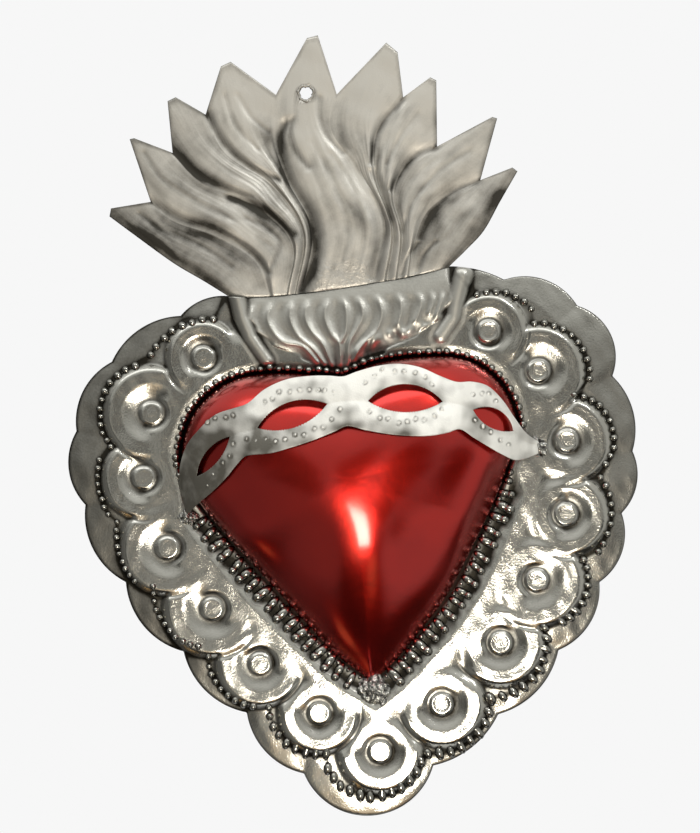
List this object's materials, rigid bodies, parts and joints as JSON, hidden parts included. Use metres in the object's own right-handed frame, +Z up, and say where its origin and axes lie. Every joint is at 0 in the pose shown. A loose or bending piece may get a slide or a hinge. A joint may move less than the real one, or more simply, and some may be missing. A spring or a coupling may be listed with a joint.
{
  "type": "tin sacred heart wall ornament",
  "caption": "Embossed tin plaque: a scalloped heart frame with a flame crest, a raised red heart and a pierced crown-of-thorns band, hung by a nail hole.",
  "frame": {"origin": "centre of the nail hole at the top of the crest, on the plane of the wall behind the plaque", "axes": "+Z up towards the tip of the middle flame, -Y out of the front of the plaque, +X to the right as seen from the front; the flat border of the heart frame lies in the plane y = 0"},
  "size_m": [0.1646, 0.0235, 0.2264],
  "materials": {
    "antiqued_tin": "tinplate, hand embossed and antiqued dark in the recesses, polished on the high relief",
    "red_lacquered_tin": "tinplate under a translucent glossy red lacquer",
    "bright_tin": "pale tinplate, satin, with punched dots",
    "solder": "lumpy tin solder, dull with bright crests"
  },
  "bodies": {
    "root": {"embossed_plaque": "antiqued_tin", "heart_shell": "red_lacquered_tin", "thorn_band": "bright_tin", "solder_tip": "solder", "solder_band_left": "solder", "solder_band_right": "solder"}
  },
  "joints": []
}
